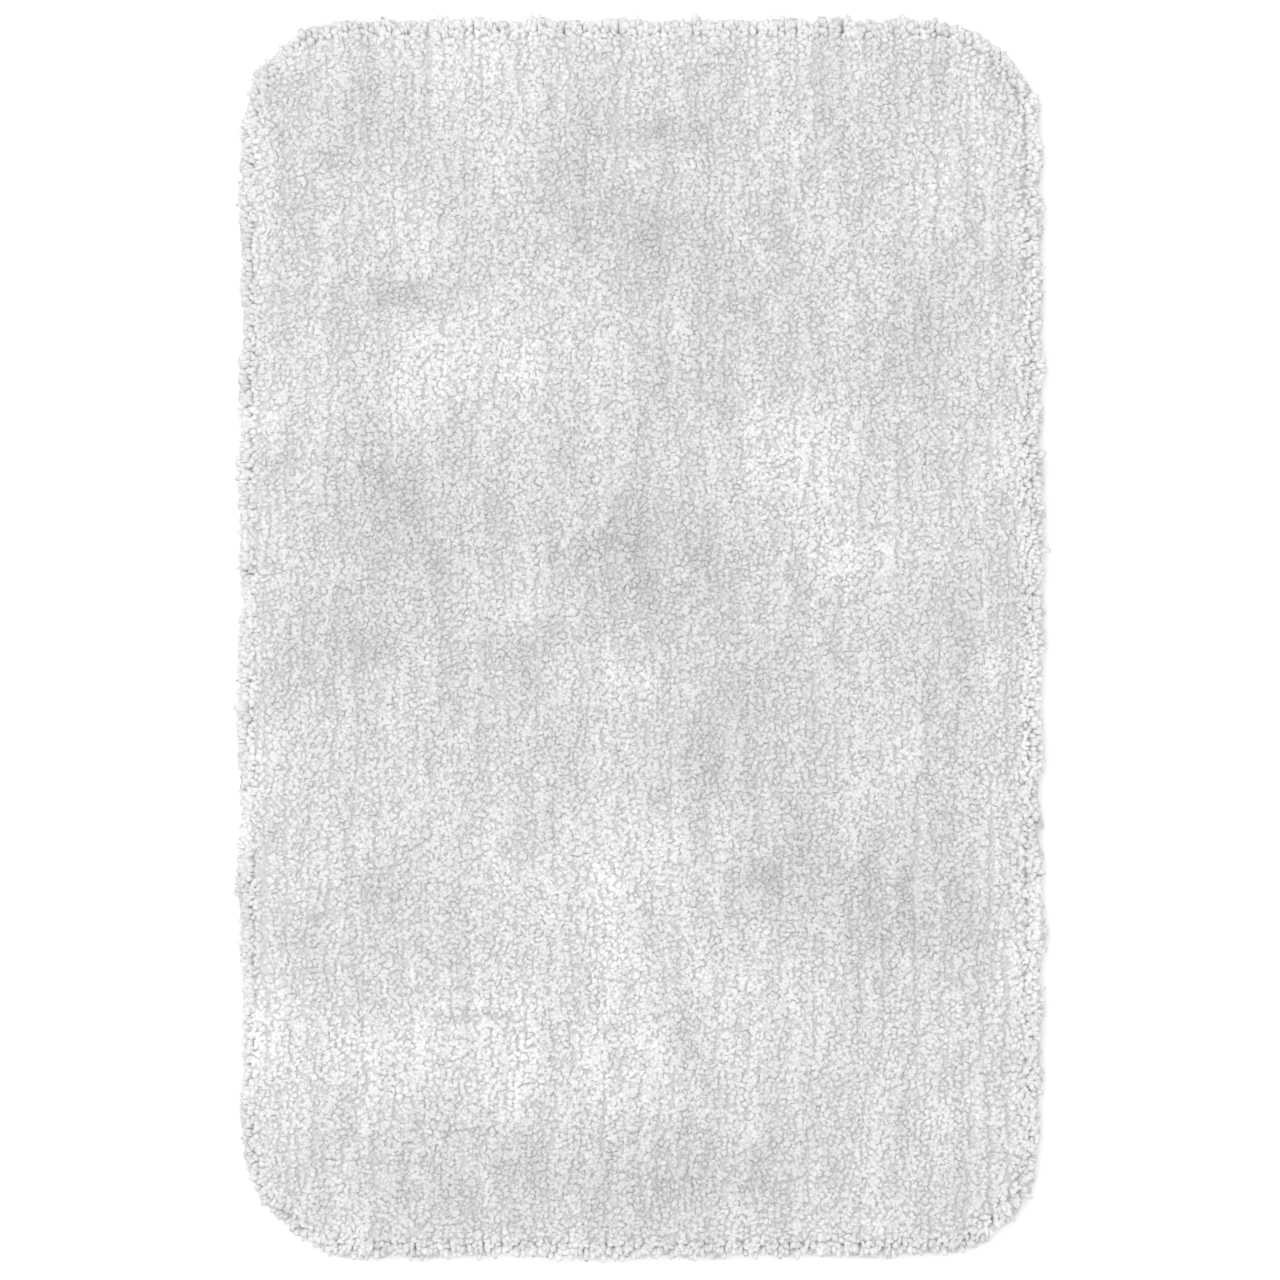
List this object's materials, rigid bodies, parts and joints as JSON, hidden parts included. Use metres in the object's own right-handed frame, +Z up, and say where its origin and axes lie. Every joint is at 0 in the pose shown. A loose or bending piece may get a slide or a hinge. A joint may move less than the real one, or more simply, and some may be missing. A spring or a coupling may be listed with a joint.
{
  "type": "bath mat",
  "caption": "Rectangular bath mat with rounded corners: dense cut pile on a woven backing, rubber back coat and a sewn edge binding.",
  "frame": {"origin": "on the floor under the centre of the mat", "axes": "+Y along the mat's long side, +X across it, +Z up out of the pile"},
  "size_m": [0.55, 0.85, 0.025],
  "materials": {
    "pile": "cut-pile microfibre yarn, matte with a faint sheen, neutral white",
    "backing_cloth": "plain-woven backing cloth, off-white",
    "back_coat": "matte moulded rubber back coat, off-white, ribbed by the stitches under it",
    "binding_tape": "twill-woven polyester tape, white",
    "seam_thread": "twisted polyester sewing thread, white, slight sheen",
    "label_satin": "blank satin ribbon, white, soft gloss"
  },
  "bodies": {
    "root": {"rubber_back_coat": "back_coat", "backing_cloth": "backing_cloth", "edge_binding_tape": "binding_tape", "binding_needle_thread": "seam_thread", "binding_bobbin_thread": "seam_thread", "care_label": "label_satin", "pile_band_01": "pile", "pile_band_02": "pile", "pile_band_03": "pile", "pile_band_04": "pile", "pile_band_05": "pile", "pile_band_06": "pile", "pile_band_07": "pile", "pile_band_08": "pile", "pile_band_09": "pile", "pile_band_10": "pile", "pile_band_11": "pile", "pile_band_12": "pile", "pile_band_13": "pile"}
  },
  "joints": []
}
